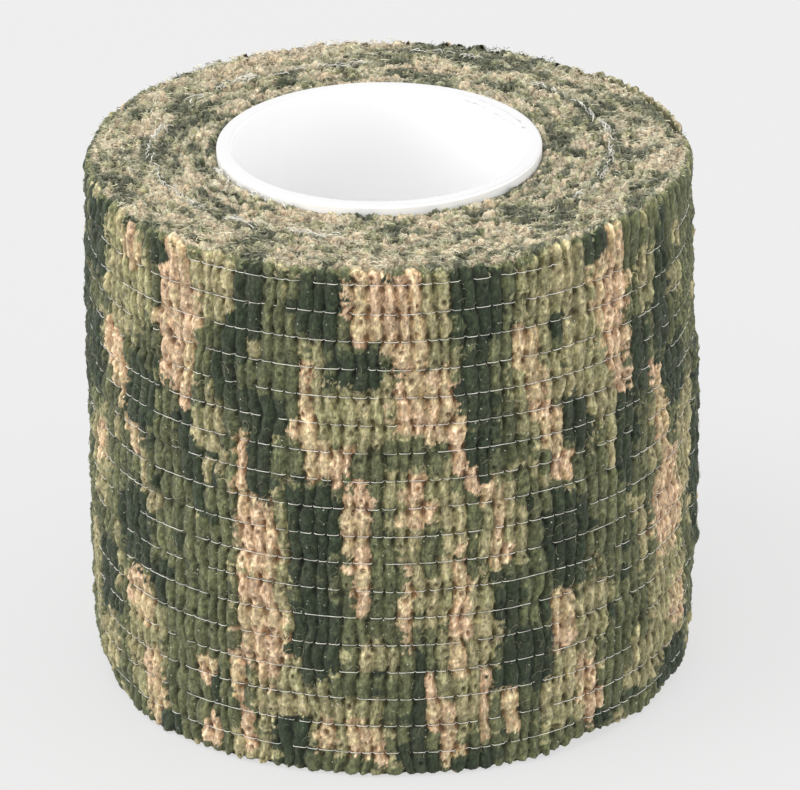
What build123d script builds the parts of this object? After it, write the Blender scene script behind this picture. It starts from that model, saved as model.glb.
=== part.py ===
"""A roll of self-adhesive elastic wrap on a moulded plastic core, in millimetres.

+Z runs along the core's axis and the origin is on that axis, in the plane that the roll stands on.
The tape is one long strip wound counter-clockwise from the core outwards. It is a laminate: a printed
ply outside, a backing ply inside, and elastic threads that run the length of the tape between them.
Its free end, the tail, is cut into three links, so that it can peel off the roll.
"""

import math
import os

from build123d import *

# Core
CORE_RADIUS = 14.9
CORE_WALL = 1.35
CORE_LENGTH = 51.0
RIM_ROUNDING = 0.25

# Tape
TAPE_WIDTH = 50.0
PLY_THICKNESS = 0.21
THREAD_THICKNESS = 0.17
THREAD_HEIGHT = 0.25
THREAD_COUNT = 18
THREAD_FIRST_Z = 2.45
THREAD_SPACING = 2.72
LAYER_CLEARANCE = 0.01

# Winding: the roll is wound looser on its +X side, so the pitch differs from side to side
CORE_CLEARANCE = 0.03
PITCH_RIGHT = 0.815
PITCH_LEFT = 0.735
FULL_TURNS = 16

# Tail, as angles past the end of the last full turn
PEEL_ANGLE = 12.0
LINK_SWEEPS = {"tail_root": 11.0, "tail_middle": 10.5, "tail_tip": 10.5}
SEAM_GAP = 0.1

THREAD_LAYER = THREAD_THICKNESS + 2 * LAYER_CLEARANCE
BACKING = (0.0, PLY_THICKNESS)
THREADS = (PLY_THICKNESS + LAYER_CLEARANCE, PLY_THICKNESS + LAYER_CLEARANCE + THREAD_THICKNESS)
PRINTED = (PLY_THICKNESS + THREAD_LAYER, 2 * PLY_THICKNESS + THREAD_LAYER)
TAPE_THICKNESS = PRINTED[1]
PEEL_LINE = FULL_TURNS * 360 + PEEL_ANGLE


def half_turn(index):
    """Centre on the X axis, and radius of the strip's inner face, of one half turn of the winding.

    Half turns meet on the X axis, where they are tangent, so each one is a true arc.
    """
    right_turns = (index + index % 2) / 2
    left_turns = (index + 1 - index % 2) / 2
    start = CORE_RADIUS + CORE_CLEARANCE
    right = start + right_turns * PITCH_RIGHT
    left = start + left_turns * PITCH_LEFT
    return (right - left) / 2, (right + left) / 2


def winding_point(angle, offset):
    """Point on the winding at a total angle in degrees, at a distance outside the strip's inner face."""
    centre, radius = half_turn(int(angle // 180))
    turned = math.radians(angle)
    return Vector(centre + (radius + offset) * math.cos(turned), (radius + offset) * math.sin(turned))


def winding_arcs(offset, start, end):
    """Arcs that follow the winding from one total angle to another."""
    arcs = []
    for index in range(int(start // 180), math.ceil(end / 180)):
        low, high = max(start, 180 * index), min(end, 180 * (index + 1))
        centre, radius = half_turn(index)
        arcs.append(CenterArc((centre, 0), radius + offset, low % 360, high - low))
    return arcs


def strip(layer, start, end, low, high):
    """One layer of the tape between two total angles, from height low to height high."""
    inner, outer = layer
    ends = [Line(winding_point(a, inner), winding_point(a, outer)) for a in (start, end)]
    outline = winding_arcs(inner, start, end) + winding_arcs(outer, start, end) + ends
    face = make_face(outline)
    return Pos(0, 0, low) * extrude(face, amount=high - low, dir=(0, 0, 1))


def thread(number, start, end):
    """One elastic thread between two total angles. Number 0 is the lowest."""
    middle = THREAD_FIRST_Z + number * THREAD_SPACING
    return strip(THREADS, start, end, middle - THREAD_HEIGHT / 2, middle + THREAD_HEIGHT / 2)


def core():
    """The moulded tube that the tape is wound on, with all four rim edges eased."""
    tube = Cylinder(CORE_RADIUS, CORE_LENGTH, align=(Align.CENTER, Align.CENTER, Align.MIN))
    tube -= Cylinder(CORE_RADIUS - CORE_WALL, CORE_LENGTH, align=(Align.CENTER, Align.CENTER, Align.MIN))
    return fillet(tube.edges().filter_by(GeomType.CIRCLE), RIM_ROUNDING)


def wound_tape():
    """The tape from the core to the line where its tail peels off."""
    nodes = {
        "backing_ply": strip(BACKING, 0, PEEL_LINE, 0, TAPE_WIDTH),
        "printed_ply": strip(PRINTED, 0, PEEL_LINE, 0, TAPE_WIDTH),
    }
    for number in range(THREAD_COUNT):
        nodes[f"elastic_thread_{number + 1:02d}"] = thread(number, 0, PEEL_LINE)
    return nodes


def tail():
    """The tail's links, each with its two plies and its lengths of the threads, and the hinge lines."""
    nodes, hinges = {}, {}
    seam = PEEL_LINE
    for link, sweep in LINK_SWEEPS.items():
        gap = math.degrees(SEAM_GAP / half_turn(2 * FULL_TURNS)[1])
        start, end = seam + gap, seam + sweep
        nodes[f"{link}_backing_ply"] = strip(BACKING, start, end, 0, TAPE_WIDTH)
        nodes[f"{link}_printed_ply"] = strip(PRINTED, start, end, 0, TAPE_WIDTH)
        nodes[f"{link}_threads"] = Compound(
            [thread(number, start, end).solid() for number in range(THREAD_COUNT)]
        )
        hinges[link] = winding_point(seam + gap / 2, TAPE_THICKNESS)
        seam = end
    return nodes, hinges


def main():
    nodes = {"core": core(), **wound_tape()}
    tail_nodes, hinges = tail()
    nodes.update(tail_nodes)
    os.makedirs("parts", exist_ok=True)
    for name, shape in nodes.items():
        export_step(shape, f"parts/{name}.step")
    for link, line in hinges.items():
        print(f"{link} hinges about a vertical line at X {line.X:.4f}, Y {line.Y:.4f}")


main()
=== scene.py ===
"""The looks of a roll of camouflage elastic wrap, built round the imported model.

Shapes are worked out in millimetres, in the model's frame, and turned into metres as each mesh is made.
A place on the tape is given by the total angle of the winding in degrees (0 at the tape's start on the
core, 360 more for each turn) and by its height. Columns are the puckers: vertical ribs of fabric that the
elastic threads gather, COLUMNS_PER_TURN of them a turn. Bands are the strips between two threads.
"""

import math

import bpy
import numpy as np
from mathutils import Matrix


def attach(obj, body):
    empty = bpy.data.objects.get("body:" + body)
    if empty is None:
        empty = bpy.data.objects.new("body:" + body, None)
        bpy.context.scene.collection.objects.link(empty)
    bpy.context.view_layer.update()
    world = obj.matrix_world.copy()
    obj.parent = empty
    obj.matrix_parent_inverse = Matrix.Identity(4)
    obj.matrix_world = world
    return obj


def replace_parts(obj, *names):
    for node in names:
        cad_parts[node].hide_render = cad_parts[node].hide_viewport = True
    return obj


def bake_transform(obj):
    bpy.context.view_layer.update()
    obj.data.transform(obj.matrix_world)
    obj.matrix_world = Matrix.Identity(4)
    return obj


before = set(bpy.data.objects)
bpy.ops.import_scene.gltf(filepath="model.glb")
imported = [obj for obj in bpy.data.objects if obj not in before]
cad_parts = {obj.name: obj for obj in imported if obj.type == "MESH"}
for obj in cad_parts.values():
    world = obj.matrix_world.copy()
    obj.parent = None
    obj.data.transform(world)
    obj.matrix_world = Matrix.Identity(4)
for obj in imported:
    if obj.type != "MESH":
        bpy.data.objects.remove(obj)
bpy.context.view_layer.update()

MM = 0.001

# The winding, as in the model
CORE_RADIUS = 14.9
CORE_WALL = 1.35
CORE_LENGTH = 51.0
CORE_CLEARANCE = 0.03
PITCH_RIGHT = 0.815
PITCH_LEFT = 0.735
TAPE_WIDTH = 50.0
TAPE_THICKNESS = 0.61
FULL_TURNS = 16
LAST_TURN = FULL_TURNS * 360
PEEL_LINE = LAST_TURN + 12.0
LINKS = ("tail_root", "tail_middle", "tail_tip")
LINK_SWEEPS = (11.0, 10.5, 10.5)
SEAMS = tuple(PEEL_LINE + sum(LINK_SWEEPS[:number]) for number in range(3))
TIP_LINE = PEEL_LINE + sum(LINK_SWEEPS)
THREAD_COUNT = 18
THREAD_FIRST_Z = 2.45
THREAD_SPACING = 2.72

# The fabric
COLUMNS_PER_TURN = 140
COLUMN_ANGLE = 360 / COLUMNS_PER_TURN
COLUMN_WIDTH = 1.22
FIRST_ANGLE = PEEL_LINE - 360 - 6.0
SKIN_START_CLEAR = TIP_LINE - 360 + 1.0
SKIN_END = PEEL_LINE - 4.0
RIB_HEIGHT = 0.5
TOP_ROUND = 1.15
TOP_DEPTH = 1.0
TOP_LIFT = 0.25
FOOT_ROUND = 0.5
FOOT_DEPTH = 0.28
FOOT_TURN = 75
TOP_TURN = 82
STEPS_PER_COLUMN = 11
HEIGHT_STEP = 0.2

# Tilts of the surface over the shoulder: where it starts, where its painted light makes it palest, where
# cut edges take over
SHOULDER_TILT = math.radians(12)
SHOULDER_LIGHT_TILT = math.radians(60)
CUT_TILTS = (math.radians(50), math.radians(78))

# Places where something begins, is full, starts to fall and ends, in degrees from -180 to 180. The bulge
# in the outline has total angles instead, and heights too.
THREAD_HELD = (-134, -129, -57, -52)
FOOT_STRAIGHT = (-168, -140, -60, -25)
TOP_RAISED = (-66, -50, -22, -4)
BULGE_ANGLES = (LAST_TURN - 12, LAST_TURN - 7, LAST_TURN + 2, LAST_TURN + 6)
BULGE_HEIGHTS = (9, 12, 30, 34)
FOOT_REACH = 3

# The roll's radius at the fabric and at the tail, for turning a length along it into an angle
FABRIC_RADIUS = 27.7
TAIL_RADIUS = 27.9

# Limits that colours are held to
DARKEST = 0.004
PALEST = 0.95
PALEST_FIBRE = 0.9


# -------- the winding

def half_turn(index):
    """Centre on the X axis, and inner radius, of each half turn, as in the model."""
    right_turns = (index + index % 2) / 2
    left_turns = (index + 1 - index % 2) / 2
    right = CORE_RADIUS + CORE_CLEARANCE + right_turns * PITCH_RIGHT
    left = CORE_RADIUS + CORE_CLEARANCE + left_turns * PITCH_LEFT
    return (right - left) / 2, (right + left) / 2


def on_winding(angle, offset):
    """X and Y of points at total angles, offset outwards from the strip's inner face."""
    angle = np.asarray(angle, float)
    centre, radius = half_turn(np.floor(angle / 180))
    turned = np.radians(angle)
    return centre + (radius + offset) * np.cos(turned), (radius + offset) * np.sin(turned)


# -------- noise

TABLE_SIZE = 256
TABLES = [np.random.default_rng(seed).uniform(-1, 1, (TABLE_SIZE, TABLE_SIZE)) for seed in range(40, 56)]


def noise(x, y, layer=0):
    """Smooth noise from -1 to 1, with features one unit across."""
    values = TABLES[layer]
    x, y = np.broadcast_arrays(np.asarray(x, float), np.asarray(y, float))
    column, row = np.floor(x).astype(int), np.floor(y).astype(int)
    u, v = x - column, y - row
    u, v = u * u * (3 - 2 * u), v * v * (3 - 2 * v)
    column, row = column % TABLE_SIZE, row % TABLE_SIZE
    right, up = (column + 1) % TABLE_SIZE, (row + 1) % TABLE_SIZE
    low = values[column, row] * (1 - u) + values[right, row] * u
    high = values[column, up] * (1 - u) + values[right, up] * u
    return low * (1 - v) + high * v


def rough(x, y, layer=0):
    """Noise with a second octave."""
    return (noise(x, y, layer) + 0.5 * noise(2.1 * x + 17, 2.1 * y + 5, layer)) / 1.5


def pick(column, row, layer):
    """A random value from 0 to 1 for each whole column and row."""
    values = TABLES[layer]
    return (values[np.asarray(column, int) % TABLE_SIZE, np.asarray(row, int) % TABLE_SIZE] + 1) / 2


def cells(x, y, layer):
    """Distance to the nearest of points scattered one to a unit square, and two random values of it."""
    column, row = np.floor(x).astype(int), np.floor(y).astype(int)
    nearest = np.full(x.shape, 9.0)
    first, second = np.zeros(x.shape), np.zeros(x.shape)
    for across in (-1, 0, 1):
        for up in (-1, 0, 1):
            i, j = column + across, row + up
            px = i + 0.15 + 0.7 * pick(i, j, layer)
            py = j + 0.15 + 0.7 * pick(i, j, layer + 1)
            away = np.hypot(x - px, y - py)
            closer = away < nearest
            nearest = np.where(closer, away, nearest)
            first = np.where(closer, pick(i, j, layer + 2), first)
            second = np.where(closer, pick(i + 7, j + 3, layer + 2), second)
    return nearest, first, second


def smooth(low, high, x):
    """0 up to low and 1 from high on, with an eased rise between them."""
    t = np.clip((x - low) / (high - low), 0, 1)
    return t * t * (3 - 2 * t)


def window(begins, full, falls, ends, x):
    """1 between full and falls, easing to 0 at begins and ends."""
    return smooth(begins, full, x) * (1 - smooth(falls, ends, x))


def bell(x, width, power=2):
    """1 at zero, falling to nothing a few widths away."""
    return np.exp(-((x / width) ** power))


def wrapped(angle):
    """The same direction, given from -180 to 180 degrees."""
    return (angle + 180) % 360 - 180


def polar(radius, turning):
    """X and Y of points at polar places, in degrees."""
    return radius * np.cos(np.radians(turning)), radius * np.sin(np.radians(turning))


# -------- the print

DARK, OLIVE, KHAKI, TAN = range(4)


def linear(red, green, blue):
    """A colour given in 0 to 255 display values, as linear light."""
    c = np.array([red, green, blue]) / 255
    return np.where(c <= 0.04045, c / 12.92, ((c + 0.055) / 1.055) ** 2.4)


INKS = np.array([
    linear(42, 53, 33),
    linear(100, 102, 70),
    linear(160, 150, 114),
    linear(207, 179, 147),
])
INKS_VARIED = np.array([
    linear(54, 62, 42),
    linear(86, 90, 60),
    linear(142, 138, 101),
    linear(190, 172, 134),
])
# Painted shade in the hollows off the crests and strands: a tint for each ink
HOLLOW_SHADE_TINT = np.array([
    (0.85, 0.88, 0.85),
    (0.66, 0.70, 0.60),
    (0.60, 0.62, 0.48),
    (0.66, 0.58, 0.48),
])
# Painted shade in the grooves, pits, holes and thread creases: a tint for each ink
GROOVE_SHADE_TINT = np.array([
    (0.42, 0.46, 0.42),
    (0.34, 0.35, 0.27),
    (0.32, 0.29, 0.21),
    (0.36, 0.27, 0.20),
])

# How far each ink's fabric is knotted into ridges, and how often it has pits and holes
KNOTTED = np.array([0.12, 0.5, 0.88, 1.0])
PIT_CHANCE = np.array([0.25, 0.6, 0.85, 0.85])
HOLE_CHANCE = np.array([0.04, 0.2, 0.45, 0.62])
SPECKLE = np.array([0.5, 0.4, 0.26, 0.22])

# The cut edges: colours, and how far pale fibres show in each
END_INKS = np.array([
    linear(64, 72, 47),
    linear(120, 122, 81),
    linear(180, 173, 131),
    linear(216, 192, 158),
])
END_PALE = np.array([0.35, 0.6, 1.0, 1.0])
CUT_FIBRE = linear(218, 214, 188)
LOOSE_FIBRE = linear(218, 214, 190)
SIDE_FIBRE = linear(204, 196, 170)
LINING = linear(150, 146, 108)

# Blotches of the print on the half of the roll from -180 to 0 degrees, ink by ink: angle, height, half
# width in degrees, half height in millimetres, and lean in degrees a millimetre. Later ones lie over
# earlier ones.
BLOTCHES = (
    (KHAKI, (
        (-149, 44, 8, 6, 0.0), (-125, 46.5, 5.5, 3.8, 0.0), (-92, 36.5, 12, 4.2, 0.0),
        (-58, 46, 8, 4.4, 0.0), (-48, 40, 8, 9, 0.0), (-164, 24.5, 6, 4.8, 0.0), (-162, 5, 5, 3, 0.0),
        (-145, 9, 7, 7, 0.0), (-111, 8, 7.5, 5, 0.0), (-84, 24, 8, 8, 0.0), (-75, 12, 6, 8, 0.0),
        (-53, 10, 7, 7.5, 0.4), (-23, 12, 9, 9, 0.0), (-62, 38, 5, 6, 0.0), (-93, 12, 4, 2, 0.0),
        (-82, 45, 4, 5, 0.0), (-33.5, 44, 3, 3, 0.0), (-105, 36, 4, 8, 0.0), (-115, 19, 6.5, 10, 0.0),
        (-171, 12, 4, 5, 0.0), (-100, 5, 9, 3, 0.0), (-14, 24, 6, 6, 0.0), (-36, 6, 3, 3, 0.0),
        (-70, 25, 4, 5, 0.0),
    )),
    (TAN, (
        (-154, 35.5, 4.4, 3.2, -0.9), (-149, 31, 3, 3, -1.0), (-146.5, 28.2, 1.8, 1.8, 0.0),
        (-134, 43, 4.6, 7.5, 0.0), (-132.3, 34.5, 1.7, 4.2, -0.3), (-147, 47, 3, 2.4, 0.0),
        (-119.6, 30.5, 1.5, 3.6, 0.0), (-117.5, 32, 1.4, 1.6, 0.0), (-116, 23.5, 4.8, 4.8, 0.0),
        (-115.6, 15, 5, 5.6, 0.0), (-120, 6, 1.3, 5, -0.2), (-106.2, 36.5, 2.6, 5.4, 0.0),
        (-103, 31.2, 7, 1.9, 0.0), (-96, 25, 2.8, 5.4, 0.0), (-96.6, 18.4, 1.4, 2.4, 0.0),
        (-93, 46.5, 5.2, 3.9, 0.0), (-87, 45, 3.4, 4.8, 0.0), (-83.5, 37.5, 6.5, 3.9, 0.0),
        (-78.6, 34, 2.4, 4.4, -0.3), (-74.5, 30, 2.1, 3.6, -0.7), (-85.5, 27.5, 2.6, 2.8, 0.0),
        (-87, 17.5, 1.4, 4.6, 0.0), (-77, 17, 1.8, 6, 0.0), (-69.5, 24, 1.8, 4.4, -0.2),
        (-62.5, 39, 2.4, 4.6, -0.2), (-63.6, 44.6, 0.9, 2.2, 0.0), (-59, 33.4, 2.5, 3, -0.7),
        (-56, 29, 2, 2.3, -0.3), (-44, 45.2, 5, 5, 0.0), (-42.5, 39, 4.2, 2.6, 0.0),
        (-40.4, 35, 2.2, 2.6, -0.4), (-28, 30, 2.2, 5, -0.4), (-24, 20.5, 6.4, 5.6, 0.0),
        (-49.5, 5.5, 2.6, 3.9, -0.3), (-56, 13.5, 2.2, 3.4, 0.0), (-146, 13, 4.6, 2.8, 0.0),
        (-142, 5, 2.9, 4.2, 0.0), (-81.4, 6, 1.5, 5.2, -0.35), (-78, 1.6, 1.8, 1.8, 0.0),
        (-97, 3.6, 2.3, 2.4, 0.0), (-92.2, 3, 1.5, 2.2, 0.0), (-103.6, 3.6, 2.4, 1.9, 0.0),
        (-67.8, 6.6, 1.7, 3.6, -0.2), (-72.4, 7, 1.2, 3.4, 0.0), (-127.8, 8.4, 1.6, 1.8, 0.0),
        (-127.6, 2.4, 1.5, 1.7, 0.0), (-19, 9, 4, 2.6, 0.0), (-164, 25.5, 2.4, 2.4, 0.0),
    )),
    (OLIVE, (
        (-88, 32.4, 4, 1.8, 0.0), (-91, 21, 3, 4, 0.0), (-82, 23, 2, 2.4, 0.0), (-111, 40, 3.5, 6, 0.0),
        (-114, 48, 3, 3, 0.0), (-108, 31.5, 1.0, 2.0, 0.0),
    )),
    (DARK, (
        (-175, 37, 6, 12, 0.0), (-164, 46, 5.6, 3.8, 0.0), (-164.5, 34, 4.4, 4.6, 0.0),
        (-145, 33, 5, 3.6, 0.0), (-147, 20, 5.8, 4.6, 0.0), (-160, 12.5, 5.6, 4, 0.0),
        (-130.5, 29, 2.6, 4.8, -0.5), (-139, 48.6, 2.2, 1.6, 0.0), (-120.7, 41, 3, 5.6, 0.6),
        (-116.6, 46.8, 2.6, 3.8, 0.0), (-115.5, 35.6, 5.8, 2.4, 0.0), (-114.6, 31, 3, 3.8, 0.0),
        (-103, 46.6, 4.1, 3.8, 0.0), (-95.6, 40.4, 5.2, 2.0, 0.0), (-104.5, 24.5, 4.6, 5.2, 0.0),
        (-104.6, 14.8, 5.3, 4.8, 0.0), (-109.6, 3, 3.9, 2.8, 0.0), (-138, 1.6, 3, 1.1, 0.0),
        (-73.5, 45.8, 5.2, 4.8, 0.0), (-74.2, 38, 3.2, 3.8, 0.0), (-72.6, 32.4, 2.9, 3.4, 0.0),
        (-52.4, 33, 3.2, 2.6, 0.0), (-39.6, 29.4, 3.4, 4.6, 0.0), (-55.3, 21.4, 5.0, 4.8, 0.0),
        (-67.4, 16.6, 2.7, 3, 0.0), (-64.6, 10.4, 5.8, 3.4, 0.0), (-85.4, 8.4, 1.8, 4.8, 0.0),
        (-86, 2, 4.2, 2.3, 0.0), (-27.4, 43, 3, 7.4, 0.0), (-21, 32.4, 5.6, 4, 0.0),
        (-19, 2.6, 7, 2.8, 0.0), (-46.4, 2, 2.4, 1.2, 0.0), (-74, 1.1, 5, 1.2, 0.0),
        (-48, 48.9, 1.8, 1.4, 0.0), (-35, 37, 3, 4, 0.0), (-5, 21, 5, 10, 0.0),
        (-56.6, 42.6, 1.6, 1.6, 0.0),
    )),
)


def scattered_blotches():
    """Blotches of the same kinds for the back half of the roll, at random."""
    rng = np.random.default_rng(11)
    found = []
    for ink, count in ((KHAKI, 46), (TAN, 62), (DARK, 46)):
        for _ in range(count):
            tall = rng.uniform(1.8, 7.5)
            angle = rng.uniform(4, 172)
            height = rng.uniform(0, TAPE_WIDTH)
            wide = rng.uniform(1.6, 6.5)
            found.append((ink, angle, height, wide, tall, rng.uniform(-0.6, 0.6)))
    rng.shuffle(found)
    return tuple((int(ink), *rest) for ink, *rest in found)


PRINT = tuple((ink, *blotch) for ink, group in BLOTCHES for blotch in group) + scattered_blotches()
SQUARENESS = 2.6


def print_at(column, angle, z):
    """The ink at a place. Edges mostly follow the ribs, as ink stops at the groove between two of them."""
    snapped = (column + 0.5) * COLUMN_ANGLE + FIRST_ANGLE
    snapped = snapped * 0.75 + angle * 0.25
    lifted = z + 0.9 * (pick(column, 3, 5) - 0.5)
    around = wrapped(snapped)
    base = rough(snapped * 0.2, lifted * 0.24, 6)
    ink = np.where(base > 0.42, KHAKI, OLIVE)
    ink = np.where(rough(snapped * 0.3 + 9, lifted * 0.3, 7) < -0.56, DARK, ink)
    ragged = 0.3 * rough(snapped * 0.35, lifted * 0.55, 8)
    ragged = ragged + 0.16 * noise(snapped * 1.4, lifted * 2.4, 9)
    ragged = ragged + 0.09 * noise(angle * 2.6, z * 3.7, 11) + 0.05 * noise(angle * 5.5, z * 8, 12)
    for kind, at, height, wide, tall, lean in PRINT:
        up = (lifted - height) / tall
        across = (wrapped(around - at) - lean * (lifted - height)) / wide
        near = (np.abs(up) < 1.5) & (np.abs(across) < 1.5)
        if near.any():
            far = (np.abs(across[near]) ** SQUARENESS + np.abs(up[near]) ** SQUARENESS) ** (1 / SQUARENESS)
            ink[near] = np.where(far + ragged[near] < 1, kind, ink[near])
    return ink


# -------- the fabric's relief

def columns_and_bands(angle, v):
    """Where a place falls among the wandering ribs: ribs counted along the tape, bands across it."""
    s = (angle - FIRST_ANGLE) / COLUMN_ANGLE
    t = (v - THREAD_FIRST_Z) / THREAD_SPACING
    s = s + 0.34 * noise(s * 0.5, t * 0.85, 0) + 0.13 * noise(s * 1.4, t * 2.7, 1)
    band = np.floor(t)
    here = 0.26 * noise(s * 0.7, band * 7.3, 14)
    above = 0.26 * noise(s * 0.7, (band + 1) * 7.3, 14)
    return s + here + (above - here) * smooth(0.88, 1.0, t - band), t


def slipped(angle, t):
    """1 where the top thread has slipped in under the fabric and no longer gathers it, else 0."""
    held = window(*THREAD_HELD, wrapped(angle))
    return (1 - held) * smooth(THREAD_COUNT - 1.6, THREAD_COUNT - 1.4, t)


def fabric(angle, v):
    """Height of the relief over the strip's outer face, and colour. v is the distance across the tape."""
    s, t = columns_and_bands(angle, v)
    column, band = np.floor(s), np.floor(t)
    f, q = s - column, t - band
    ink = print_at(column, angle, v)
    knotted = KNOTTED[ink]

    # A rib for each column: broad where the print is dark, a narrow wandering ridge where it's pale
    crest = 0.5 + (0.08 + 0.22 * knotted) * noise(column * 3.7 + 0.5, t * 2.7, 10)
    leaning = np.where(f < crest, 0.5 * f / crest, 0.5 + 0.5 * (f - crest) / (1 - crest))
    rib = np.sin(np.pi * leaning) ** (0.6 + 1.25 * knotted)
    strength = 0.88 + 0.36 * noise(column * 0.9 + 0.5, t * 1.1, 2)
    strength = strength + 0.2 * noise(column * 1.7, t * 3.1, 3)
    to_thread = np.minimum(q, 1 - q)
    free = slipped(angle, t)
    pinch = 1 - 0.52 * bell(to_thread, 0.11) * (1 - free)
    middle = np.sin(np.pi * q) * (1 - free) + free
    rise = RIB_HEIGHT * strength * rib * pinch * (0.84 + 0.16 * middle)
    dome = 0.17 * knotted * middle ** 0.8 * (1 - rib)

    # A strand that bridges the groove to the next rib, and the net of strands over the ribs
    bridge_at = 0.28 + 0.44 * pick(column, band, 10)
    bridge_at = bridge_at + 0.22 * (f - 0.5) * (pick(column, band, 9) - 0.5)
    bridge = bell(q - bridge_at, 0.06) * (pick(column, band, 11) > 0.3) * knotted
    net = np.clip(np.maximum(smooth(0.72, 0.95, rib), 0.8 * bridge), 0, 1)

    # Pits: in the hollows beside the threads, and here and there on a rib
    groove = np.where(f < 0.5, column, column + 1)
    across = np.minimum(f, 1 - f) * COLUMN_WIDTH
    size = 0.15 + 0.10 * pick(groove, band, 4)
    under = np.hypot(across, (q - 0.86) * THREAD_SPACING * 0.62)
    over = np.hypot(across, (q - 0.13) * THREAD_SPACING * 0.62)
    chance = PIT_CHANCE[ink]
    pit = np.where(pick(groove, band, 5) < chance, bell(under, size, 4), 0)
    pit = np.maximum(pit, np.where(pick(groove, band, 6) < 0.7 * chance, bell(over, size, 4), 0))
    across = (f - 0.34 - 0.32 * pick(column, band, 12)) * COLUMN_WIDTH
    hole_at = np.where(pick(column, band, 13) > 0.5, 0.2 + 0.15 * pick(column, band, 14),
                       0.58 + 0.2 * pick(column, band, 14))
    away = np.hypot(across, (q - hole_at) * THREAD_SPACING * 0.72)
    has_hole = pick(column, band, 15) < HOLE_CHANCE[ink]
    hole_size = 0.15 + 0.09 * pick(column, band, 4)
    hole = np.where(has_hole, bell(away, hole_size, 4), 0)
    raised = np.where(has_hole, bell(away - hole_size - 0.12, 0.08), 0)
    pit, hole, raised = pit * (1 - free), hole * (1 - free), raised * (1 - free)

    # The web of fibres on the surface, and the height of all of it together
    thin = bell(noise(s * 3.1 + 4, v * 1.7, 12), 0.15)
    thinner = bell(noise(s * 5.3, v * 2.9 + 8, 13), 0.17)
    web = np.clip(0.65 * thin + 0.55 * thinner, 0, 1)
    grain = 0.05 * noise(s * 7, v * 3.4, 5) + 0.05 * noise(s * 12, v * 6.5, 6)
    grain = grain + (0.05 + 0.06 * knotted) * web
    unevenness = 0.10 * rough(angle * 0.045, v * 0.11, 7)
    height = (-RIB_HEIGHT + 0.04 + rise + dome + 0.09 * bridge - 0.2 * pit - 0.27 * hole + 0.07 * raised
              + grain + unevenness)

    # Colour: the ink, darkened by painted shade in the hollows and painted shadow by the threads, and paler
    # with painted highlights on the net and round the holes
    low = 1 - smooth(0.12, 0.6, rib)
    # Painted shadow along each thread line, and painted shade in the grooves, pits and holes, less on
    # strands bridging a groove
    crease_shadow = 0.45 * bell(to_thread, 0.07) * (1 - free)
    groove_shade = low * (0.9 - 0.62 * knotted) + 0.95 * pit + 0.9 * hole - 0.3 * bridge
    groove_shade = np.clip(groove_shade + crease_shadow, 0, 1)[..., None]
    mixing = noise(column * 0.8, v * 0.45, 8) + 0.5 * noise(s * 5, v * 1.6, 9)
    mixing = smooth(-0.35, 0.5, mixing)[..., None]
    colour = INKS[ink] * (1 - mixing) + INKS_VARIED[ink] * mixing
    fleck = 1 + 0.22 * noise(column * 1.3, t * 0.9, 3) + SPECKLE[ink] * noise(s * 9, v * 5, 4)
    colour = colour * fleck[..., None]
    # Painted shade on knotted fabric wherever it is off the crests, strands and raised rims
    hollow_shade = knotted * (1 - np.maximum(net, raised)) * (0.55 + 0.45 * noise(s * 1.7, t * 2.3, 12))
    hollow_shade = hollow_shade[..., None]
    colour = colour * (1 - hollow_shade + hollow_shade * HOLLOW_SHADE_TINT[ink])
    colour = colour * (1 - groove_shade + groove_shade * GROOVE_SHADE_TINT[ink])
    # Painted highlight on the net of crests and strands and on the raised rims round holes
    pale = np.clip(0.5 * net * knotted + 0.4 * raised, 0, 1) * (0.7 + 0.5 * noise(s * 6, v * 4, 13))
    pale = pale[..., None]
    colour = colour * (1 + 0.3 * pale) + 0.03 * pale
    colour = colour * (0.78 + (0.56 + 0.22 * knotted) * web)[..., None]
    return height, np.clip(colour, DARKEST, PALEST)


def swell(angle, v):
    """How far the outline stands out: a slight barrel and one bulge, drawn in at the sides of the foot."""
    clear = smooth(SKIN_START_CLEAR, SKIN_START_CLEAR + 12, angle)
    middle = TAPE_WIDTH / 2
    barrel = 0.25 * (1 - ((v - middle) / middle) ** 2)
    straight = window(*FOOT_STRAIGHT, wrapped(angle))
    drawn_in = (0.95 - 0.55 * np.cos(np.radians(angle))) * (1 - straight)
    drawn_in = drawn_in * np.clip((4.5 - v) / 4.5, 0, 1) ** 2
    bulge = 0.45 * window(*BULGE_ANGLES, angle) * window(*BULGE_HEIGHTS, v)
    return clear * (barrel + bulge) - drawn_in


def foot_lift(angle):
    """Height of the tape's lower edge over the plane the roll stands on."""
    around = wrapped(angle)
    lifts = 0.8 * bell(around + 49, 9) + 0.55 * bell(around + 21, 9)
    return lifts + 0.06 + 0.05 * noise(angle * 0.05, 3.5, 4)


def with_foot_lifted(angle, z):
    """Heights with the lowest part of the tape squeezed up to its lifted edge."""
    lift = foot_lift(angle)
    return np.where(z < FOOT_REACH, lift + z * (1 - lift / FOOT_REACH), z)


# -------- meshes

def make_mesh(name, points, faces, material, colours=None):
    """A smooth-shaded mesh object from points in millimetres."""
    mesh = bpy.data.meshes.new(name)
    points = np.asarray(points, np.float32) * MM
    faces = np.asarray(faces, np.int32)
    mesh.vertices.add(len(points))
    mesh.vertices.foreach_set("co", points.ravel())
    mesh.loops.add(faces.size)
    mesh.loops.foreach_set("vertex_index", faces.ravel())
    mesh.polygons.add(len(faces))
    mesh.polygons.foreach_set("loop_start", np.arange(0, faces.size, faces.shape[1], dtype=np.int32))
    mesh.polygons.foreach_set("use_smooth", np.ones(len(faces), bool))
    mesh.update(calc_edges=True)
    mesh.validate()
    if colours is not None:
        layer = mesh.attributes.new("ink", "FLOAT_COLOR", "POINT")
        rgba = np.concatenate([colours, np.ones((len(colours), 1))], axis=1).astype(np.float32)
        layer.data.foreach_set("color", rgba.ravel())
    mesh.materials.append(material)
    made = bpy.data.objects.new(name, mesh)
    bpy.context.scene.collection.objects.link(made)
    return made


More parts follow.
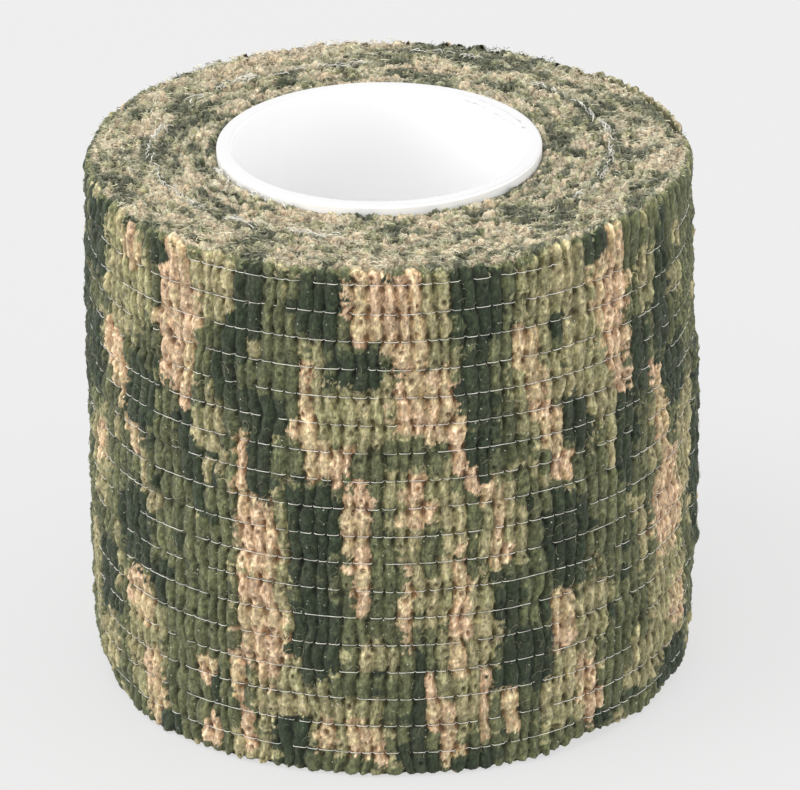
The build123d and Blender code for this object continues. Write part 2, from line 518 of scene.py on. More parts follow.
def grid_faces(rows, columns, closed=False, flip=False):
    """Quads of a grid of points laid out row by row. closed joins the last column to the first."""
    i = np.arange(rows - 1)[:, None]
    j = np.arange(columns if closed else columns - 1)[None, :]
    k = (j + 1) % columns
    quads = np.stack([i * columns + j, i * columns + k, (i + 1) * columns + k, (i + 1) * columns + j], -1)
    quads = quads.reshape(-1, 4)
    return quads[:, ::-1] if flip else quads


def profile():
    """Rows across the tape from foot to top: distance across, height, inset and tilt of the surface."""
    foot = np.radians(np.linspace(FOOT_TURN, 0, 6)[:-1])
    count = round((TAPE_WIDTH - TOP_ROUND - FOOT_ROUND) / HEIGHT_STEP)
    straight = np.linspace(FOOT_ROUND, TAPE_WIDTH - TOP_ROUND, count)
    top = np.radians(np.linspace(0, TOP_TURN, 13)[1:])
    flat = np.zeros(count)
    last = straight[-1]
    across = np.concatenate([FOOT_ROUND * (1 - foot), straight, last + TOP_ROUND * top])
    height = np.concatenate([FOOT_ROUND * (1 - np.sin(foot)), straight, last + TOP_ROUND * np.sin(top)])
    inset = np.concatenate([FOOT_DEPTH * (1 - np.cos(foot)), flat, TOP_DEPTH * (1 - np.cos(top))])
    tilt = np.concatenate([-foot, flat, top])
    return across, height, inset, tilt


ROW_ACROSS, ROW_HEIGHT, ROW_INSET, ROW_TILT = profile()


def surface(angles, rows=slice(None)):
    """The tape's outer surface at total angles: points and colours, row by row across it."""
    a, v = np.meshgrid(angles, ROW_ACROSS[rows])
    shape = (ROW_HEIGHT, ROW_INSET, ROW_TILT)
    z, inset, tilt = (np.repeat(row[rows, None], len(angles), 1) for row in shape)
    relief, colour = fabric(a, v)
    flat_tail = smooth(SKIN_END - 1, PEEL_LINE, a)
    inset = inset * (1 - 0.72 * flat_tail)
    out = TAPE_THICKNESS - inset + swell(a, v) + relief * np.cos(tilt)
    x, y = on_winding(a, out)
    near_top = smooth(TAPE_WIDTH - 3, TAPE_WIDTH, v)
    raised = TOP_LIFT + 0.6 * window(*TOP_RAISED, wrapped(a))
    s = a / COLUMN_ANGLE
    wander = 0.2 * noise(s * 1.1, 0.5, 2) + 0.14 * noise(s * 2.7, 3.5, 3)
    z = z + relief * np.abs(np.sin(tilt)) * np.sign(tilt) + near_top * (wander + raised * (1 - flat_tail))
    z = with_foot_lifted(a, z)
    shoulder = ROW_TILT[rows] > SHOULDER_TILT
    if shoulder.any():
        # Painted light: paler the further the surface turns up over the shoulder
        shoulder_light = smooth(SHOULDER_TILT, SHOULDER_LIGHT_TILT, tilt[shoulder])[..., None]
        turned = smooth(*CUT_TILTS, tilt[shoulder])[..., None]
        _, cut = end_relief(np.hypot(x, y)[shoulder], np.degrees(np.arctan2(y, x))[shoulder] % 360)
        colour[shoulder] = colour[shoulder] * (1 + 0.5 * shoulder_light) * (1 - turned) + cut * turned
    return np.stack([x, y, np.maximum(z, 0.02)], -1), colour


def lining(angles, outer):
    """The tape's inner surface under the same rows."""
    a, v = np.meshgrid(angles, ROW_ACROSS)
    s, _ = columns_and_bands(a, v)
    f = s - np.floor(s)
    rib = np.sin(np.pi * f) ** 0.8
    edge = np.minimum(smooth(0, 1.5, v), 1 - smooth(TAPE_WIDTH - 1.5, TAPE_WIDTH + 0.4, v))
    out = 0.06 + (0.16 * rib + 0.03 * noise(s * 6, v * 3, 5)) * edge
    x, y = on_winding(a, out)
    z = outer[..., 2]
    # Paler on the lining's ribs and darker in its grooves, painted shade, with tone that differs at random
    tone = (0.8 + 0.2 * rib + 0.15 * noise(s * 5, v * 3, 6))[..., None]
    return np.stack([x, y, z], -1), np.clip(LINING * tone, DARKEST, PALEST)


def angles_between(start, end):
    """Total angles from one place on the tape to another, in even steps."""
    steps = max(2, round((end - start) / COLUMN_ANGLE * STEPS_PER_COLUMN))
    return np.linspace(start, end, steps + 1)


SECTORS = 6


def build_skin(material):
    """The outermost turn, in sectors, from under the tail round to where the tail starts."""
    edges = np.linspace(FIRST_ANGLE, SKIN_END, SECTORS + 1)
    made = []
    for number, (start, end) in enumerate(zip(edges[:-1], edges[1:])):
        points, colour = surface(angles_between(start, end))
        faces = grid_faces(*points.shape[:2])
        name = f"wrap_sector_{number + 1}"
        made.append(make_mesh(name, points.reshape(-1, 3), faces, material, colour.reshape(-1, 3)))
    return made


def strip(name, start, end, material, ragged=False):
    """A closed length of the tape between two total angles, outer surface and lining.

    ragged shifts its last part along the tape by a different amount in each row, for a torn end.
    """
    angles = angles_between(start, end)
    outer, outer_colour = surface(angles)
    inner, inner_colour = lining(angles, outer)
    if ragged:
        cut = 0.5 * noise(ROW_ACROSS * 1.3, 2.5, 5) + 0.4 * noise(ROW_ACROSS * 4.1, 1.5, 6)
        share = np.linspace(0, 1, len(angles)) ** 3
        for row, shift in enumerate(cut):
            dx, dy = outer[row, -1, :2] - outer[row, -4, :2]
            scale = shift / math.hypot(dx, dy) * share
            for side in (outer, inner):
                side[row, :, 0] += dx * scale
                side[row, :, 1] += dy * scale
    ring = np.concatenate([outer, inner[::-1]]).transpose(1, 0, 2)
    shades = np.concatenate([outer_colour, inner_colour[::-1]]).transpose(1, 0, 2)
    columns, around = ring.shape[:2]
    walls = grid_faces(columns, around, closed=True, flip=True)
    rows = around // 2
    i = np.arange(rows - 1)
    near = np.stack([i, i + 1, around - 2 - i, around - 1 - i], -1)
    far = near[:, ::-1] + (columns - 1) * around
    faces = np.concatenate([walls, near[:, ::-1], far[:, ::-1]])
    return make_mesh(name, ring.reshape(-1, 3), faces, material, shades.reshape(-1, 3))


def rings_along(paths, sides):
    """Unit rings round each point of one path or of many. The last two axes of paths are points and XYZ."""
    along = np.gradient(paths, axis=-2)
    along /= np.linalg.norm(along, axis=-1, keepdims=True) + 1e-12
    lead = np.where(np.abs(along[..., 2:3]) < 0.9, (0.0, 0.0, 1.0), (1.0, 0.0, 0.0))
    side = np.cross(along, lead)
    side /= np.linalg.norm(side, axis=-1, keepdims=True) + 1e-12
    up = np.cross(side, along)
    turn = np.linspace(0, 2 * np.pi, sides, endpoint=False)[:, None]
    return np.cos(turn) * side[..., None, :] + np.sin(turn) * up[..., None, :]


def tube(path, radius, sides):
    """Points and quads of a thin tube along a path of points, narrowed at both ends."""
    width = np.full(len(path), radius)
    width[[0, -1]] *= 0.35
    points = path[:, None] + rings_along(path, sides) * width[:, None, None]
    return points.reshape(-1, 3), grid_faces(len(path), sides, closed=True)


def bundle(name, paths, radii, material, colours=None, sides=3):
    """One mesh of many tubes. paths is strands x points x 3; one radius and one colour for each strand."""
    strands, length = paths.shape[:2]
    width = np.ones(length)
    width[-1] = 0.3
    width = radii[:, None] * width[None, :]
    points = (paths[:, :, None] + rings_along(paths, sides) * width[:, :, None, None]).reshape(-1, 3)
    one = grid_faces(length, sides, closed=True)
    faces = (one[None] + (np.arange(strands) * length * sides)[:, None, None]).reshape(-1, 4)
    shades = None if colours is None else np.repeat(colours, length * sides, axis=0)
    return make_mesh(name, points, faces, material, shades)


THREAD_RADIUS = 0.035
THREAD_SIDES = 5
THREAD_STEPS = 9


def thread_path(number, start, end):
    """A thread's centre line. On some ribs it stays hidden, and it mostly dips in between two ribs."""
    steps = max(3, round((end - start) / COLUMN_ANGLE * THREAD_STEPS))
    a = np.linspace(start, end, steps + 1)
    middle = THREAD_FIRST_Z + number * THREAD_SPACING
    z = middle + 0.07 * noise(a * 0.11, number * 2.3, 4) + 0.02 * noise(a * 0.45, number * 1.7, 9)
    relief, _ = fabric(a, z)
    s, _ = columns_and_bands(a, z)
    column = np.floor(s)
    rib = np.sin(np.pi * (s - column))
    shown = pick(column, np.full_like(column, number), 7)
    held = pick(column, np.full_like(column, number + 40), 8)
    taut = -RIB_HEIGHT + 0.3 + 0.1 * rough(a * 0.045, z * 0.11, 7)
    level = 0.12 * (relief + 0.035) + 0.88 * taut
    hidden = 0.14 + 0.3 * smooth(35, 60, np.abs(wrapped(a) + 90))
    level = np.where(shown < hidden, level - 0.22, np.maximum(level, relief + 0.015))
    buried = (held < 0.8) * (1 - smooth(0.25, 0.42, rib))
    level = level * (1 - buried) + np.minimum(level, relief - 0.14) * buried
    level = level - 0.5 * slipped(a, np.full_like(a, number))
    out = TAPE_THICKNESS + swell(a, z) + level
    x, y = on_winding(a, np.maximum(out, 0.2))
    return np.stack([x, y, with_foot_lifted(a, z)], -1)


def thread_mesh(name, numbers, start, end, material):
    """One mesh of the numbered threads between two total angles."""
    points, faces, total = [], [], 0
    for number in numbers:
        ring_points, quads = tube(thread_path(number, start, end), THREAD_RADIUS, THREAD_SIDES)
        points.append(ring_points)
        faces.append(quads + total)
        total += len(ring_points)
    return make_mesh(name, np.concatenate(points), np.concatenate(faces), material)


# -------- the end faces

END_INNER = CORE_RADIUS + 0.02
TOP_FLAT = TAPE_WIDTH + TOP_LIFT - 0.05
FOOT_FLAT = 0.35
TOP_TUCK = 0.35
FOOT_TUCK = 0.05


def edge_table(top):
    """Radius from the axis, and height, of the skin's edge, all the way round."""
    theta = np.arange(0, 361, 0.25)
    total = SKIN_END - ((SKIN_END - theta) % 360)
    points, _ = surface(total, rows=slice(-7, None) if top else slice(0, 1))
    highest = np.argmax(points[..., 2], axis=0)
    edge = points[highest, np.arange(len(total))]
    return theta, np.hypot(edge[:, 0], edge[:, 1]), edge[:, 2]


def skin_edge(theta, top):
    """Radius and height of the skin's edge in given directions."""
    known, radius, height = EDGES[top]
    return np.interp(theta % 360, known, radius), np.interp(theta % 360, known, height)


def end_relief(radius, turning):
    """Height and colour of the wound edges of the tape, seen end on, at polar places."""
    uneven = (PITCH_RIGHT - PITCH_LEFT) / 2 * np.cos(np.radians(turning))
    pitch = (PITCH_RIGHT + PITCH_LEFT) / 2 + uneven
    turn = (radius - CORE_RADIUS - CORE_CLEARANCE) / pitch - turning / 360
    whole = np.floor(turn)
    arc = np.radians(turning + 360 * whole) * (CORE_RADIUS + pitch * (whole + turning / 720))
    wobble = 0.34 * noise(arc / 0.8, whole * 7.3, 2) + 0.3 * noise(arc / 2.3, whole * 3.1, 3)
    turn = turn + wobble + 0.3 * rough(turning * 0.09, radius * 0.5, 6)
    k = np.floor(turn)
    ridge = np.sin(np.pi * (turn - k)) ** 0.5
    x, y = polar(radius, turning)
    bent_x = x + 0.3 * noise(x * 1.7, y * 1.7, 4) + 0.12 * noise(x * 4.3, y * 4.3, 2)
    bent_y = y + 0.3 * noise(x * 1.7 + 31, y * 1.7, 5) + 0.12 * noise(x * 4.3 + 9, y * 4.3, 3)
    away, first, second = cells(bent_x / 1.05, bent_y / 0.9, 8)
    small, third, speck = cells(bent_x / 0.42, bent_y / 0.34, 4)
    proud = 0.5 * noise(k * 1.7, turning * 0.02, 1) + 0.5 * rough(turning * 0.12, radius * 0.35, 6)
    tuft = 0.75 * (first - 0.45) * (1 - smooth(0.1, 0.75, away)) - 0.45 * smooth(0.4, 0.8, away)
    crumb = 0.14 * (third - 0.5) * (1 - smooth(0.1, 0.7, small)) - 0.05 * smooth(0.3, 0.7, small)
    strand = bell(noise(bent_x * 2.3, bent_y * 4.6, 7), 0.15)
    strand = strand + 0.8 * bell(noise(bent_x * 4.1 + 3, bent_y * 3.1, 11), 0.15)
    strand = strand + 0.6 * bell(noise(bent_x * 5.6, bent_y * 6.3 + 7, 13), 0.15)
    strand = np.clip(strand, 0, 1)
    rise = 0.34 * ridge + 0.3 * proud + tuft + crumb + 0.2 * strand - 0.32

    tone = (1.15 * rough(arc / 3.8, k * 0.7, 9) + 0.9 * rough(turning * 0.12, radius * 0.42, 10)
            + 0.8 * (second - 0.5) + 0.22)
    ink = np.select([tone < -0.21, tone < 0.07, tone < 0.4], [DARK, OLIVE, KHAKI], TAN)
    # Brightness follows the tufts' and crumbs' heights, painted shade on low ones and painted light on tall
    # ones, with tone that differs at random
    colour = END_INKS[ink] * (0.4 + 0.52 * first + 0.5 * third)[..., None]
    pale = 0.6 * strand * (0.4 + 0.9 * third) + 0.5 * smooth(0.66, 0.97, speck)
    pale = np.clip(pale * END_PALE[ink], 0, 0.75)[..., None]
    colour = colour * (1 - pale) + pale * CUT_FIBRE
    # Painted shade in the gaps between tufts, crumbs and turns, less where strands lie over them
    hollow_shade = 0.7 * smooth(0.38, 0.8, away) + 0.6 * smooth(0.35, 0.75, small)
    hollow_shade = hollow_shade + 0.95 * (1 - smooth(0.1, 0.66, ridge))
    hollow_shade = np.clip((hollow_shade + 0.04) * (1 - 0.66 * strand), 0, 1)
    return rise, colour * (1 - 0.92 * hollow_shade)[..., None]


EDGES = {True: edge_table(True), False: edge_table(False)}


def end_face(name, material, top, rings, steps):
    """The wound edges of the tape at one end, from the core out to where the skin turns over."""
    theta = np.linspace(0, 360, steps + 1)[:-1]
    edge_radius, edge_z = skin_edge(theta, top)
    share = np.linspace(0, 1, rings)[:, None]
    tuck = TOP_TUCK if top else FOOT_TUCK
    outer = edge_radius + tuck
    radius = END_INNER + (outer[None, :] - END_INNER) * share
    turning = np.broadcast_to(theta, radius.shape)
    rise, colour = end_relief(radius, turning)
    inside = edge_radius[None, :] - radius
    at_edge = 1 - smooth(0.0, 1.3, inside)
    rise = rise * (0.2 + 0.8 * smooth(0.0, 0.5, inside))
    by_core = 1 - smooth(0.0, 0.7, radius - END_INNER)
    rise = rise * (1 - 0.7 * by_core) - 0.2 * by_core
    # Painted contact shadow on the edges where they meet the core
    contact_shadow = 1 - smooth(0.0, 0.45, radius - END_INNER)
    colour = colour * (1 - 0.55 * contact_shadow)[..., None]
    if top:
        z = (TOP_FLAT + rise) * (1 - at_edge) + (edge_z[None, :] + 0.7 * rise) * at_edge
        z = z - 1.2 * np.clip(-inside / tuck, 0, 1)
    else:
        z = (FOOT_FLAT - rise) * (1 - at_edge) + (edge_z[None, :] - 0.5 * rise) * at_edge
        z = np.maximum(z + 0.2 * np.clip(-inside / tuck, 0, 1), 0.03)
    points = np.stack([*polar(radius, turning), z], -1).reshape(-1, 3)
    faces = grid_faces(rings, steps, closed=True, flip=top)
    return make_mesh(name, points, faces, material, np.clip(colour, DARKEST, PALEST).reshape(-1, 3))


def top_height(radius, turning):
    """Height of the top face's surface, near enough to plant fibres on."""
    rise, colour = end_relief(radius, turning)
    edge_radius, _ = skin_edge(turning, True)
    fall = 1.3 * np.clip((radius - edge_radius + 0.2) / 1.6, 0, 1) ** 2
    return TOP_FLAT + rise - fall, colour


TOP_FIBRES = 10500
SIDE_FIBRES = 6500


def top_fuzz(name, seed, material):
    """Short loose fibres that stand out of the cut edges, most of them leaning outwards."""
    rng = np.random.default_rng(seed)
    count = TOP_FIBRES
    turning = rng.uniform(0, 360, count)
    rim_radius, _ = skin_edge(turning, True)
    radius = END_INNER + 0.25 + (rim_radius + 0.1 - END_INNER) * np.sqrt(rng.uniform(0.0, 1, count))
    z, colour = top_height(radius, turning)
    heading = np.radians(turning) + rng.normal(0, 1.3, count)
    outermost = smooth(-1.2, -0.2, radius - rim_radius)
    length = rng.uniform(0.3, 1.15, count) * (1 - 0.45 * outermost)
    climb = rng.uniform(-0.1, 0.6, count)
    curl = rng.uniform(-1.6, 1.6, count)
    t = np.linspace(0, 1, 4)[None, :]
    direction = heading[:, None] + curl[:, None] * t
    reach = length[:, None] * t
    root_x, root_y = polar(radius, turning)
    x = root_x[:, None] + reach * np.cos(direction)
    y = root_y[:, None] + reach * np.sin(direction)
    z = z[:, None] - 0.06 + reach * climb[:, None] - 0.5 * reach ** 2 * (0.3 + climb[:, None])
    paths = np.stack([x, y, z], -1)
    pale = 0.9 * rng.uniform(0, 1, count)[:, None] ** 4
    colour = colour * rng.uniform(0.5, 1.9, count)[:, None] * (1 - pale) + pale * LOOSE_FIBRE
    radii = rng.uniform(0.016, 0.036, count)
    return bundle(name, paths, radii, material, np.clip(colour, DARKEST, PALEST_FIBRE))


# Loose white filaments on the top face: start and end angle, radius, and how many pieces of them
FILAMENTS = ((158, 222, 20.9, 60), (122, 146, 21.3, 26), (-34, 6, 21.2, 34), (4, 50, 21.2, 34),
             (222, 262, 20.7, 24), (92, 118, 20.9, 12), (196, 236, 15.5, 22), (60, 84, 24.0, 10))


def loose_filaments(material):
    """White elastic filaments that have come away along one turn, lying in short kinked lengths."""
    rng = np.random.default_rng(9)
    paths = []
    t = np.linspace(0, 1, 14)
    for start, end, radius, pieces in FILAMENTS:
        for _ in range(pieces):
            span = rng.uniform(1.2, 5.5)
            a = rng.uniform(start, end) + span * (t - 0.5)
            phase = rng.uniform(0, 50)
            lean = rng.normal(0, 0.3)
            r = (radius + rng.normal(0, 0.22) + lean * (t - 0.5) + 0.16 * noise(a * 1.1 + phase, 0.5, 3)
                 + 0.09 * noise(a * 3.7 + phase, 2.5, 4))
            z = TAPE_WIDTH + TOP_LIFT + 0.2 + rng.uniform(-0.1, 0.25)
            z = z + 0.12 * noise(a * 1.3 + phase, 4.5, 5) - 0.3 * np.abs(2 * t - 1) ** 5
            paths.append(np.stack([*polar(r, a), z], -1))
    radii = rng.uniform(0.028, 0.055, len(paths))
    return bundle("loose_filaments", np.array(paths), radii, material, sides=4)


def side_fuzz(material):
    """Fine fibres that have lifted off the outer surface, lying close along it."""
    rng = np.random.default_rng(6)
    count = SIDE_FIBRES
    a0 = rng.uniform(SKIN_START_CLEAR + 3, SKIN_END - 3, count)
    v0 = rng.uniform(2.2, TAPE_WIDTH - 1.5, count)
    length = rng.uniform(0.3, 1.1, count)
    heading = rng.normal(np.pi / 2, 0.7, count)
    curl = rng.uniform(-2.6, 2.6, count)
    t = np.linspace(0, 1, 6)[None, :]
    direction = heading[:, None] + curl[:, None] * t
    reach = length[:, None] * t
    a = a0[:, None] + np.degrees(reach * np.cos(direction) / FABRIC_RADIUS)
    v = np.clip(v0[:, None] + reach * np.sin(direction), 0.4, TAPE_WIDTH - 0.4)
    relief, colour = fabric(a, v)
    level = np.maximum(relief, relief.mean(axis=1, keepdims=True))
    arch = 0.12 * np.sin(np.pi * t) * rng.uniform(0, 1, count)[:, None]
    x, y = on_winding(a, TAPE_THICKNESS + swell(a, v) + level + 0.03 + arch)
    pale = 0.6 * rng.uniform(0.0, 1, count)[:, None] ** 2
    colour = colour[:, 0] * rng.uniform(0.9, 1.7, count)[:, None] * (1 - pale) + pale * SIDE_FIBRE
    radii = rng.uniform(0.011, 0.024, count)
    paths = np.stack([x, y, v], -1)
    return bundle("side_fuzz", paths, radii, material, np.clip(colour, DARKEST, PALEST_FIBRE))


def core_flash(material):
    """A thin torn lip of plastic left on the inner rim of the core's top by the mould."""
    bore = CORE_RADIUS - CORE_WALL
    a = np.linspace(14, 58, 120)
    share = np.linspace(0, 1, len(a))
    lip = 0.95 * smooth(0, 0.2, share) * (1 - smooth(0.75, 1, share))
    torn = 0.55 + 0.75 * noise(share * 9, 1.5, 3) + 0.35 * noise(share * 31, 2.5, 4)
    lip = lip * np.clip(torn, 0.05, 1.3)
    root = bore + 0.32
    tip = bore - lip
    ring = []
    for r, z in ((root, CORE_LENGTH - 0.02), (bore, CORE_LENGTH + 0.015), (tip, CORE_LENGTH - 0.05),
                 (tip, CORE_LENGTH - 0.2), (bore + 0.01, CORE_LENGTH - 0.45)):
        r = np.broadcast_to(r, a.shape)
        wave = 0.04 * noise(share * 14, 5.5, 5) if z < CORE_LENGTH else 0
        ring.append(np.stack([*polar(r, a), z + wave + 0 * a], -1))
    ring = np.array(ring).transpose(1, 0, 2)
    faces = grid_faces(ring.shape[0], ring.shape[1], closed=True)
    return make_mesh("core_flash", ring.reshape(-1, 3), faces, material)


# -------- materials

class Nodes:
    """A material's node tree, with one call per node. Scales of textures are per metre."""

    def __init__(self, name):
        self.material = bpy.data.materials.new(name)
        self.material.use_nodes = True
        self.tree = self.material.node_tree
        self.shader = self.tree.nodes["Principled BSDF"]

    def add(self, kind, inputs=None, **settings):
        node = self.tree.nodes.new(kind)
        for key, value in settings.items():
            setattr(node, key, value)
        for key, value in (inputs or {}).items():
            if isinstance(value, bpy.types.NodeSocket):
                self.tree.links.new(value, node.inputs[key])
            else:
                node.inputs[key].default_value = value
        return node

    def set(self, **values):
        for key, value in values.items():
            socket = self.shader.inputs[key.replace("_", " ")]
            if isinstance(value, bpy.types.NodeSocket):
                self.tree.links.new(value, socket)
            else:
                socket.default_value = value

    def mapped(self, scale):
        where = self.add("ShaderNodeTexCoord").outputs["Object"]
        return self.add("ShaderNodeMapping", {"Vector": where, "Scale": scale}).outputs["Vector"]

    def grey(self, shade):
        channels = {"Red": shade, "Green": shade, "Blue": shade}
        return self.add("ShaderNodeCombineColor", channels).outputs["Color"]

    def noise(self, where, scale, detail=2.0, roughness=0.5):
        return self.add("ShaderNodeTexNoise", {"Vector": where, "Scale": scale, "Detail": detail,
                                               "Roughness": roughness})

    def mix(self, kind, factor, a, b):
        node = self.add("ShaderNodeMix", data_type="RGBA", blend_type=kind)
        for socket, value in zip((node.inputs[0], node.inputs[6], node.inputs[7]), (factor, a, b)):
            if isinstance(value, bpy.types.NodeSocket):
                self.tree.links.new(value, socket)
            else:
                socket.default_value = value
        return node.outputs[2]

    def span(self, value, low, high, to_low, to_high):
        return self.add("ShaderNodeMapRange", {"Value": value, "From Min": low, "From Max": high,
                                               "To Min": to_low, "To Max": to_high}).outputs["Result"]


def cloth_material(name, stretch, strength):
    """Printed non-woven fabric: fibres over the print, a few painted glints as pale flecks, and a dull
    latex gleam.

    stretch below 1 draws the fibres out upright, and strength is that of the bump.
    """
    n = Nodes(name)
    ink = n.add("ShaderNodeAttribute", attribute_name="ink", attribute_type="GEOMETRY")
    where = n.mapped((1, 1, stretch))
    fibres = n.noise(where, 3600, 4.0, 0.7).outputs["Fac"]
    wisps = n.noise(where, 8500, 2.0, 0.6).outputs["Fac"]
    shade = n.span(fibres, 0.3, 0.7, 0.42, 1.58)
    colour = n.mix("MULTIPLY", 1.0, ink.outputs["Color"], n.grey(shade))
    # Painted glints: a few pale flecks mixed into the colour
    glint_dots = n.add("ShaderNodeTexVoronoi", {"Vector": n.mapped((1, 1, 1)), "Scale": 1900.0})
    chosen = n.add("ShaderNodeSeparateColor", {"Color": glint_dots.outputs["Color"]}).outputs["Red"]
    glint = n.add("ShaderNodeMath", {0: n.span(glint_dots.outputs["Distance"], 0.1, 0.19, 1.0, 0.0),
                                   1: n.span(chosen, 0.82, 0.84, 0.0, 0.6)}, operation="MULTIPLY")
    colour = n.mix("MIX", glint.outputs[0], colour, (0.62, 0.62, 0.52, 1))
    n.set(Base_Color=colour, Roughness=n.span(fibres, 0.3, 0.7, 0.75, 0.45), Specular_IOR_Level=0.22)
    n.set(Sheen_Weight=0.08, Sheen_Roughness=0.6)
    height = n.add("ShaderNodeMath", {0: fibres, 1: wisps}, operation="ADD").outputs[0]
    bump = n.add("ShaderNodeBump", {"Height": height, "Strength": strength, "Distance": 0.00018})
    n.set(Normal=bump.outputs["Normal"])
    return n.material


def thread_material():
    """Off-white elastic, a little uneven in shade."""
    n = Nodes("elastic_thread")
    where = n.mapped((1, 1, 1))
    tone = n.noise(where, 900, 2.0).outputs["Fac"]
    shade = n.span(tone, 0.35, 0.65, 0.46, 0.88)
    n.set(Base_Color=n.mix("MULTIPLY", 1.0, n.grey(shade), (1, 0.98, 0.88, 1)), Roughness=0.45)
    return n.material


def core_material():
    """White moulded plastic, faintly cloudy and rippled, and darker at the rim's face with painted shade.
    """
    n = Nodes("core_plastic")
    where = n.mapped((1, 1, 0.6))
    cloud = n.noise(where, 90, 2.0).outputs["Fac"]
    ripple = n.noise(where, 700, 2.0).outputs["Fac"]
    wall = n.span(cloud, 0.3, 0.7, 0.905, 0.92)
    height = n.add("ShaderNodeSeparateXYZ", {"Vector": n.mapped((1, 1, 1))}).outputs["Z"]
    # Painted shade: the rim's face is made darker against the light that falls on it
    rim_shade = n.span(height, (CORE_LENGTH - 0.16) * MM, (CORE_LENGTH - 0.04) * MM, 1.0, 0.7)
    shade = n.add("ShaderNodeMath", {0: wall, 1: rim_shade}, operation="MULTIPLY").outputs[0]
    roughness = n.span(ripple, 0.3, 0.7, 0.30, 0.42)
    n.set(Base_Color=n.grey(shade), Roughness=roughness, Specular_IOR_Level=0.4)
    bump = n.add("ShaderNodeBump", {"Height": ripple, "Strength": 0.08, "Distance": 0.0001})
    n.set(Normal=bump.outputs["Normal"])
    return n.material


FLOOR_GLOW = 0.63
WORLD_STRENGTH = 1.08
FLOOR_SIZE = 40


def floor_material():
    """A plain pale floor. Most of its brightness is its own glow, to match the background."""
    n = Nodes("floor")
    n.set(Base_Color=(0.15, 0.15, 0.15, 1), Roughness=0.9, Specular_IOR_Level=0.1)
    n.set(Emission_Color=(1, 1, 1, 1), Emission_Strength=FLOOR_GLOW)
    return n.material


# -------- stage

def build_stage():
    """The floor and the even light of the world."""
    bpy.ops.mesh.primitive_plane_add(size=FLOOR_SIZE)
    floor = bpy.context.object
    floor.name = "floor"
    floor.data.materials.append(floor_material())
    world = bpy.data.worlds.new("studio")
    world.use_nodes = True
    background = world.node_tree.nodes["Background"].inputs
    background["Color"].default_value = (1, 1, 1, 1)
    background["Strength"].default_value = WORLD_STRENGTH
    bpy.context.scene.world = world
    bpy.context.scene.view_settings.view_transform = "Standard"


def add_light(name, position, aim, size, power):
    """A round soft light at a position in metres, turned towards aim. power is in watts."""
    data = bpy.data.lights.new(name, "AREA")
    data.shape = "DISK"
    data.size = size
    data.energy = power
    light = bpy.data.objects.new(name, data)
    light.location = position
    away = np.array(position) - np.array(aim)
    yaw = math.atan2(away[0], -away[1])
    tilt = math.atan2(math.hypot(away[0], away[1]), away[2])
    light.rotation_euler = (tilt, 0, yaw)
    bpy.context.scene.collection.objects.link(light)


# The camera: distance and aim in metres, lens and sensor in millimetres
CAMERA_ELEVATION = math.radians(24.2)
CAMERA_DISTANCE = 0.8
CAMERA_LENS = 388.8
SENSOR_WIDTH = 36
CAMERA_ROLL = math.radians(-0.6)
AIM = (0.00166, 0.0, 0.0257)


def add_camera():
    """The camera at the photograph's viewing angle."""
    data = bpy.data.cameras.new("camera")
    data.lens = CAMERA_LENS
    data.sensor_width = SENSOR_WIDTH
    data.clip_start = 0.01
    camera = bpy.data.objects.new("camera", data)
    camera.location = (AIM[0], AIM[1] - CAMERA_DISTANCE * math.cos(CAMERA_ELEVATION),
                       AIM[2] + CAMERA_DISTANCE * math.sin(CAMERA_ELEVATION))
    facing = Matrix.Rotation(math.pi / 2 - CAMERA_ELEVATION, 3, "X")
    camera.rotation_euler = (facing @ Matrix.Rotation(CAMERA_ROLL, 3, "Z")).to_euler()
    bpy.context.scene.collection.objects.link(camera)
    bpy.context.scene.camera = camera


# -------- put together

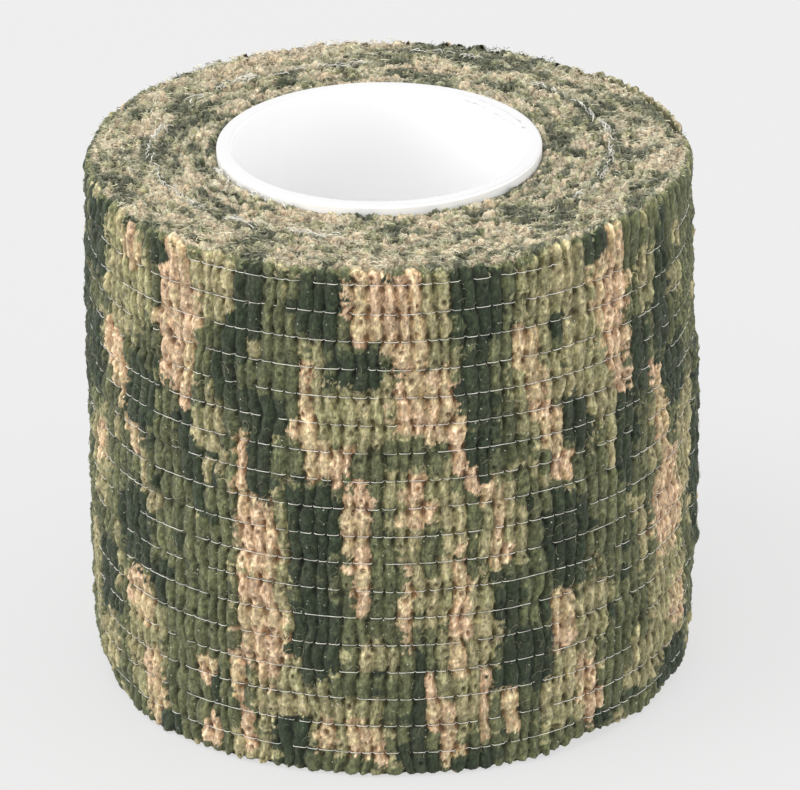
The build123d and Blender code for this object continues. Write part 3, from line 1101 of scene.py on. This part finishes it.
cloth = cloth_material("printed_fabric", 0.45, 0.5)
cut_edge = cloth_material("cut_edge", 1.0, 0.8)
fuzz = cloth_material("loose_fibres", 1.0, 0.2)
elastic = thread_material()
core_plastic = core_material()
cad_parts["core"].data.materials.clear()
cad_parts["core"].data.materials.append(core_plastic)


def on_roll(piece):
    """A piece that moves with the roll."""
    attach(piece, "roll")
    return piece


skin = [on_roll(piece) for piece in build_skin(cloth)]
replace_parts(skin[0], "printed_ply")
top_face = on_roll(end_face("wrap_top_edges", cut_edge, True, 108, 900))
on_roll(end_face("wrap_foot_edges", cut_edge, False, 60, 600))
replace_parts(top_face, "backing_ply")
for number in (1, 2):
    on_roll(top_fuzz(f"top_fuzz_{number}", number + 4, fuzz))
on_roll(side_fuzz(fuzz))
on_roll(loose_filaments(elastic))
on_roll(core_flash(core_plastic))
for number in range(THREAD_COUNT):
    line = thread_mesh(f"thread_line_{number + 1:02d}", [number], FIRST_ANGLE, SKIN_END, elastic)
    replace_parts(on_roll(line), f"elastic_thread_{number + 1:02d}")

# Millimetres past each seam at which a piece of the tail is cut
PAST_SEAMS = (2.8, 2.5, 2.5)


def degrees_of(length):
    """The angle that a length in millimetres spans along the tail."""
    return math.degrees(length / TAIL_RADIUS)


cuts = (SKIN_END, *(seam + degrees_of(past) for seam, past in zip(SEAMS, PAST_SEAMS)), TIP_LINE)
for number in range(4):
    start, end = cuts[number], cuts[number + 1]
    last = number == 3
    cloth_piece = strip(f"tail_cloth_{number + 1}", start, end, cloth, ragged=last)
    line = thread_mesh(f"tail_lines_{number + 1}", range(THREAD_COUNT), start, end, elastic)
    for piece, slot in ((cloth_piece, "printed_fabric"), (line, "elastic")):
        if last:
            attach(piece, "tail_tip")
        else:
            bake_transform(piece)
    if number < 3:
        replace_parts(cloth_piece, f"{LINKS[number]}_printed_ply", f"{LINKS[number]}_backing_ply")
        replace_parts(line, f"{LINKS[number]}_threads")

build_stage()
add_light("key", (-0.35, -0.55, 1.05), (0, 0, 0.02), 1.0, 5.7)
add_light("left_fill", (-1.0, -0.25, 0.35), (0, 0, 0.02), 0.7, 4.3)
add_light("right_fill", (1.0, -0.3, 0.35), (0, 0, 0.02), 0.7, 2.3)
add_camera()
